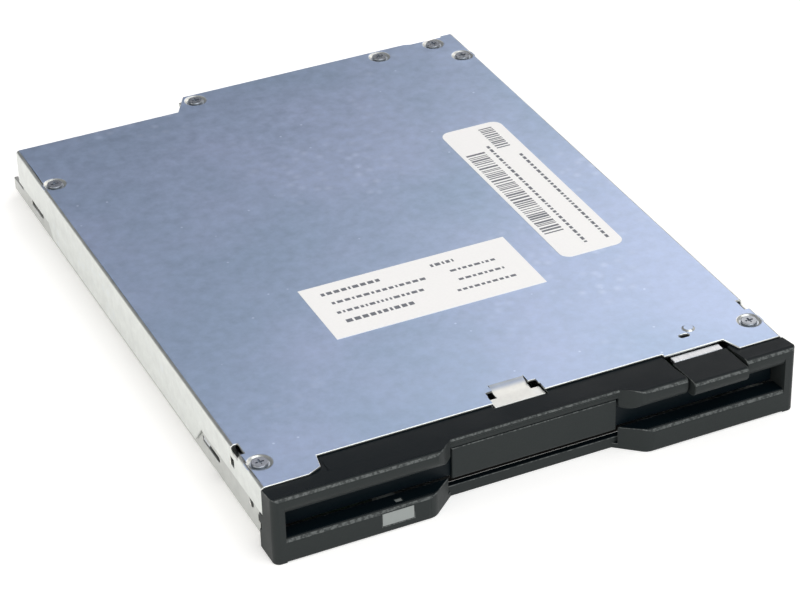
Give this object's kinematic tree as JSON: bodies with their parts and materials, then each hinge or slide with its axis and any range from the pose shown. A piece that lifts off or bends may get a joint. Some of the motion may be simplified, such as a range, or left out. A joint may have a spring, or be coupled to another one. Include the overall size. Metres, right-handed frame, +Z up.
{
  "type": "floppy disk drive",
  "caption": "Slim floppy disk drive with a slotted bezel, hinged slot flap, eject button, cam-driven disk holder, spindle motor and head carriage.",
  "frame": {"origin": "under the middle of the drive, on the plane that it rests on", "axes": "+X to the right seen from the front, +Y from the bezel to the rear, +Z up"},
  "size_m": [0.0962, 0.1332, 0.0127],
  "materials": {
    "cover_steel": "satin zinc plating with a blue cast",
    "pan_steel": "satin zinc plating",
    "inner_steel": "satin",
    "base_steel": "green solder-mask coating",
    "spring_steel": "bright",
    "screw_steel": "bright zinc",
    "core_steel": "dull laminated steel",
    "magnet": "matt",
    "hub_metal": "fine turned",
    "bronze": "satin",
    "copper": "enamelled wire",
    "black_plastic": "fine grained moulding",
    "grey_plastic": "fine moulding",
    "white_plastic": "smooth",
    "ivory_plastic": "smooth",
    "brown_plastic": "smooth",
    "clear_plastic": "frosted clear",
    "green_plastic": "clear tinted",
    "amber_film": "polyimide film",
    "board_green": "solder mask",
    "label_white": "smooth paper"
  },
  "bodies": {
    "case": {"top_cover": "cover_steel", "chassis": "pan_steel", "front_bezel": "black_plastic", "light_guide": "clear_plastic", "front_light": "green_plastic", "slide_springs": "spring_steel", "lever_pivot": "spring_steel", "lever_spring": "spring_steel", "motor_base": "base_steel", "motor_bearing": "bronze", "stator_core": "core_steel", "stator_coils": "copper", "guide_rods": "spring_steel", "rod_supports": "grey_plastic", "stepper_motor": "inner_steel", "stepper_bracket": "inner_steel", "track_sensor": "black_plastic", "head_ribbon": "amber_film", "main_board": "board_green", "board_chips": "black_plastic", "sensor_board": "board_green", "switch_bodies": "black_plastic", "cable_connector": "ivory_plastic", "connector_contacts": "bronze", "wide_label_sheet": "label_white", "narrow_label_sheet": "label_white", "cover_screws": "screw_steel", "motor_screws": "screw_steel", "bracket_screws": "screw_steel", "board_screws": "screw_steel"},
    "eject": {"eject_slide": "inner_steel", "slide_cams": "inner_steel", "eject_button": "black_plastic"},
    "holder": {"disk_holder": "inner_steel", "holder_rails": "inner_steel", "holder_pins": "white_plastic"},
    "door": {"slot_door": "black_plastic"},
    "lever": {"shutter_lever": "white_plastic"},
    "rotor": {"rotor_cup": "inner_steel", "rotor_magnet": "magnet", "spindle_hub": "hub_metal", "spindle_shaft": "spring_steel"},
    "drive_finger": {"drive_pin": "spring_steel"},
    "carriage": {"head_carriage": "grey_plastic", "lower_head": "black_plastic", "arm_pin": "spring_steel"},
    "arm": {"upper_arm": "grey_plastic", "upper_head": "black_plastic"},
    "screw": {"lead_screw": "bronze"},
    "latch": {"connector_latch": "brown_plastic"},
    "protect": {"protect_plunger": "white_plastic"},
    "present": {"present_plunger": "white_plastic"},
    "density": {"density_plunger": "white_plastic"}
  },
  "joints": [
    {"name": "eject_slide_travel", "type": "slide", "parent": "case", "child": "eject", "axis": [0, -1, 0], "range_m": [0, 0.0045], "deforming": ["slide_springs", "lever_spring"]},
    {"name": "holder_drop", "type": "slide", "parent": "case", "child": "holder", "axis": [0, 0, -1], "range_m": [0, 0.002]},
    {"name": "shutter_lever_swing", "type": "hinge", "parent": "case", "child": "lever", "pos_m": [-0.036, 0.0408, 0.0099], "axis": [0, 0, 1], "range_deg": [0, 43]},
    {"name": "upper_arm_tilt", "type": "hinge", "parent": "carriage", "child": "arm", "pos_m": [0, 0.0563, 0.0103], "axis": [1, 0, 0], "range_deg": [0, 8.6]},
    {"name": "slot_door_swing", "type": "hinge", "parent": "case", "child": "door", "pos_m": [0, -0.0607, 0.0103], "axis": [-1, 0, 0], "range_deg": [-88, 0], "stiffness_Nm_per_rad": 0.0006},
    {"name": "spindle_spin", "type": "hinge", "parent": "case", "child": "rotor", "pos_m": [0, -0.0107, 0.0026], "axis": [0, 0, 1], "continuous": true},
    {"name": "drive_pin_press", "type": "slide", "parent": "rotor", "child": "drive_finger", "axis": [0, 0, -1], "range_m": [0, 0.0005], "stiffness_N_per_m": 150},
    {"name": "carriage_travel", "type": "slide", "parent": "case", "child": "carriage", "axis": [0, -1, 0], "range_m": [0, 0.0148], "deforming": ["head_ribbon"]},
    {"name": "lead_screw_turn", "type": "hinge", "parent": "case", "child": "screw", "pos_m": [0.02, 0.0468, 0.0064], "axis": [0, 1, 0], "range_deg": [0, 1777]},
    {"name": "connector_latch_pull", "type": "slide", "parent": "case", "child": "latch", "axis": [0, 1, 0], "range_m": [0, 0.001]},
    {"name": "protect_switch_press", "type": "slide", "parent": "case", "child": "protect", "axis": [0, 0, -1], "range_m": [0, 0.0007], "stiffness_N_per_m": 200},
    {"name": "present_switch_press", "type": "slide", "parent": "case", "child": "present", "axis": [0, 0, -1], "range_m": [0, 0.0007], "stiffness_N_per_m": 200},
    {"name": "density_switch_press", "type": "slide", "parent": "case", "child": "density", "axis": [0, 0, -1], "range_m": [0, 0.0007], "stiffness_N_per_m": 200}
  ],
  "couplings": [
    {"joint": "holder_drop", "follows": "eject_slide_travel", "ratio": 0.4444},
    {"joint": "shutter_lever_swing", "follows": "eject_slide_travel", "rad_per_m": 166.76},
    {"joint": "upper_arm_tilt", "follows": "eject_slide_travel", "rad_per_m": 33.352},
    {"joint": "lead_screw_turn", "follows": "carriage_travel", "rad_per_m": 2094.4}
  ]
}
